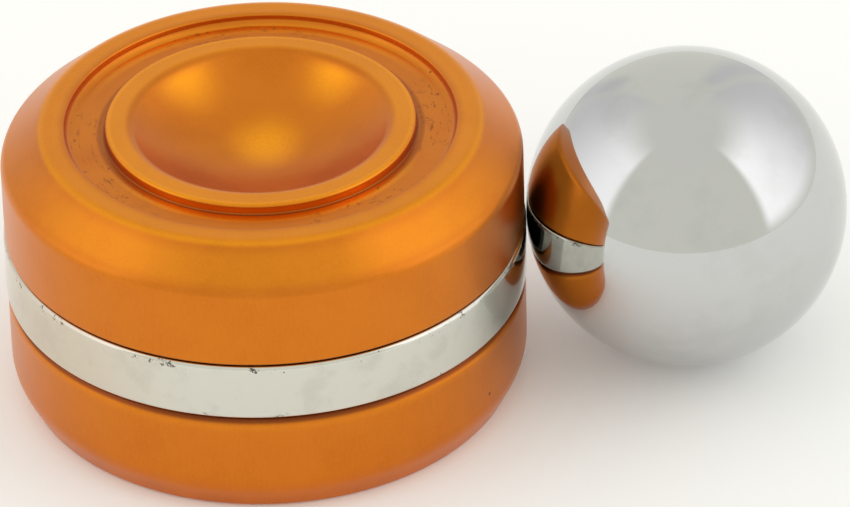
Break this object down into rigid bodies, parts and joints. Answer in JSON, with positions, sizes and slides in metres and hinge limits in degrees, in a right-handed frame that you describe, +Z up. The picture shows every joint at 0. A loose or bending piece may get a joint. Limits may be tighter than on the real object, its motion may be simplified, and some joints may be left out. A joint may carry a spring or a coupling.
{
  "type": "magnetic puck and steel ball",
  "caption": "Anodised aluminium puck with a ring magnet round its waist and a dished top, and a polished steel ball that clings to the ring and rolls round it.",
  "frame": {"origin": "centre of the puck's flat base", "axes": "+Z up along the puck's axis, +X from the puck to the ball at rest"},
  "size_m": [0.0583, 0.036, 0.0222],
  "materials": {
    "anodised_aluminium": "bead-blasted and anodised orange, satin",
    "nickel_plating": "bright nickel plating with small dark chips along its edges",
    "washer_fibre": "dark matt fibre",
    "stud_steel": "plain steel",
    "mirror_steel": "mirror polished"
  },
  "bodies": {
    "puck": {"upper_shell": "anodised_aluminium", "lower_shell": "anodised_aluminium", "ring_magnet": "nickel_plating", "upper_washer": "washer_fibre", "lower_washer": "washer_fibre", "joining_stud": "stud_steel"},
    "ball": {"steel_ball": "mirror_steel"}
  },
  "joints": [
    {"name": "ball_orbit", "type": "hinge", "parent": "puck", "child": "ball", "pos_m": [0, 0, 0], "axis": [0, 0, 1], "continuous": true}
  ]
}
